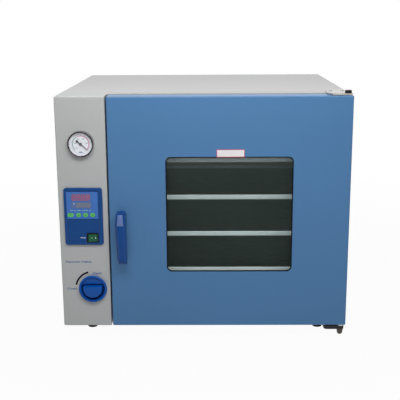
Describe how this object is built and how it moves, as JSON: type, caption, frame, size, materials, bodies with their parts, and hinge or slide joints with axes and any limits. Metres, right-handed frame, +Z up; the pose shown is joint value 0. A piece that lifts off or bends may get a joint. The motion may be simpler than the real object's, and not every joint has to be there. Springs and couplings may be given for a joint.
{
  "type": "vacuum drying oven",
  "caption": "Bench-top vacuum oven: box body with a hinged windowed door, shelved steel chamber, gauge, digital controller and a vacuum valve on a side column.",
  "frame": {"origin": "on the floor under the middle of the body", "axes": "+X to the viewer's right, -Y towards the front, +Z up"},
  "size_m": [0.65, 0.655, 0.567],
  "materials": {
    "grey_paint": "semi-gloss powder coat with fine orange peel",
    "blue_paint": "semi-gloss powder coat with fine orange peel",
    "stainless": "brushed stainless sheet",
    "shelf_metal": "brushed sheet with folded edges",
    "black_rubber": "matt black rubber",
    "silicone": "translucent white silicone",
    "heater_skin": "matt silicone pad",
    "fibre": "felted ceramic fibre",
    "zinc_steel": "bright zinc plate",
    "dark_steel": "blackened steel",
    "brass_body": "machined brass",
    "chrome_ring": "polished chrome",
    "clear_glass": "clear toughened glass",
    "dial_white": "satin white dial",
    "needle_black": "satin black",
    "deep_blue_plastic": "moulded gloss plastic",
    "keypad_blue": "printed polyester film",
    "black_plastic": "moulded matt plastic",
    "green_plastic": "translucent green plastic",
    "key_green": "embossed keypad film"
  },
  "bodies": {
    "cabinet": {"cabinet_cover": "grey_paint", "base_pan": "grey_paint", "rear_panel": "grey_paint", "front_frame": "grey_paint", "fascia_panel": "grey_paint", "strike_plate": "stainless", "partition_panel": "grey_paint", "feet": "black_rubber", "screws": "zinc_steel", "chamber_liner": "stainless", "door_seal": "silicone", "heater_pads": "heater_skin", "insulation": "fibre", "temperature_probe": "stainless", "shelf_rack_left": "stainless", "shelf_rack_right": "stainless", "upper_hinge_plate": "zinc_steel", "upper_pivot_bolt": "dark_steel", "lower_hinge_bracket": "dark_steel", "thrust_washer": "zinc_steel", "lower_pivot_bolt": "dark_steel", "gauge_case": "zinc_steel", "gauge_bezel": "chrome_ring", "gauge_lens": "clear_glass", "gauge_dial": "dial_white", "controller_bezel": "deep_blue_plastic", "display_panel": "keypad_blue", "controller_case": "black_plastic", "rocker_housing": "black_plastic", "valve_body": "brass_body", "gauge_tube": "zinc_steel", "vacuum_inlet_tube": "zinc_steel", "vacuum_outlet_tube": "zinc_steel", "vacuum_nozzle": "zinc_steel", "cable_gland": "black_plastic"},
    "door": {"door_skin": "blue_paint", "door_inner_pan": "blue_paint", "window_gasket": "black_rubber", "outer_window": "clear_glass", "window_frame": "stainless", "inner_glass": "clear_glass", "glass_clips": "stainless", "hinge_bushes": "zinc_steel", "handle_bush": "zinc_steel"},
    "handle": {"handle_lever": "deep_blue_plastic", "handle_spindle": "zinc_steel", "latch_tongue": "zinc_steel"},
    "needle": {"gauge_needle": "needle_black"},
    "power_rocker": {"rocker": "green_plastic"},
    "valve": {"valve_knob": "deep_blue_plastic", "valve_stem": "zinc_steel"},
    "shelf_body_1": {"shelf_1": "shelf_metal"},
    "shelf_body_2": {"shelf_2": "shelf_metal"},
    "shelf_body_3": {"shelf_3": "shelf_metal"},
    "shelf_body_4": {"shelf_4": "shelf_metal"},
    "key_body_1": {"key_1": "key_green"},
    "key_body_2": {"key_2": "key_green"},
    "key_body_3": {"key_3": "key_green"},
    "key_body_4": {"key_4": "key_green"}
  },
  "joints": [
    {"name": "door_hinge", "type": "hinge", "parent": "cabinet", "child": "door", "pos_m": [0.314, -0.276, 0.292], "axis": [0, 0, 1], "range_deg": [0, 110]},
    {"name": "handle_turn", "type": "hinge", "parent": "door", "child": "handle", "pos_m": [-0.183, -0.3, 0.2925], "axis": [0, -1, 0], "range_deg": [0, 90]},
    {"name": "valve_turn", "type": "hinge", "parent": "cabinet", "child": "valve", "pos_m": [-0.254, -0.295, 0.1195], "axis": [0, 1, 0], "range_deg": [0, 90]},
    {"name": "needle_swing", "type": "hinge", "parent": "cabinet", "child": "needle", "pos_m": [-0.269, -0.295, 0.4535], "axis": [0, -1, 0], "range_deg": [0, 270], "stiffness_Nm_per_rad": 0.002},
    {"name": "power_switch", "type": "hinge", "parent": "cabinet", "child": "power_rocker", "pos_m": [-0.2503, -0.291, 0.2406], "axis": [0, 0, 1], "range_deg": [-16, 0]},
    {"name": "shelf_slide_1", "type": "slide", "parent": "cabinet", "child": "shelf_body_1", "axis": [0, -1, 0], "range_m": [0, 0.04]},
    {"name": "shelf_slide_2", "type": "slide", "parent": "cabinet", "child": "shelf_body_2", "axis": [0, -1, 0], "range_m": [0, 0.04]},
    {"name": "shelf_slide_3", "type": "slide", "parent": "cabinet", "child": "shelf_body_3", "axis": [0, -1, 0], "range_m": [0, 0.04]},
    {"name": "shelf_slide_4", "type": "slide", "parent": "cabinet", "child": "shelf_body_4", "axis": [0, -1, 0], "range_m": [0, 0.04]},
    {"name": "key_press_1", "type": "slide", "parent": "cabinet", "child": "key_body_1", "axis": [0, 1, 0], "range_m": [0, 0.0008], "stiffness_N_per_m": 400},
    {"name": "key_press_2", "type": "slide", "parent": "cabinet", "child": "key_body_2", "axis": [0, 1, 0], "range_m": [0, 0.0008], "stiffness_N_per_m": 400},
    {"name": "key_press_3", "type": "slide", "parent": "cabinet", "child": "key_body_3", "axis": [0, 1, 0], "range_m": [0, 0.0008], "stiffness_N_per_m": 400},
    {"name": "key_press_4", "type": "slide", "parent": "cabinet", "child": "key_body_4", "axis": [0, 1, 0], "range_m": [0, 0.0008], "stiffness_N_per_m": 400}
  ]
}
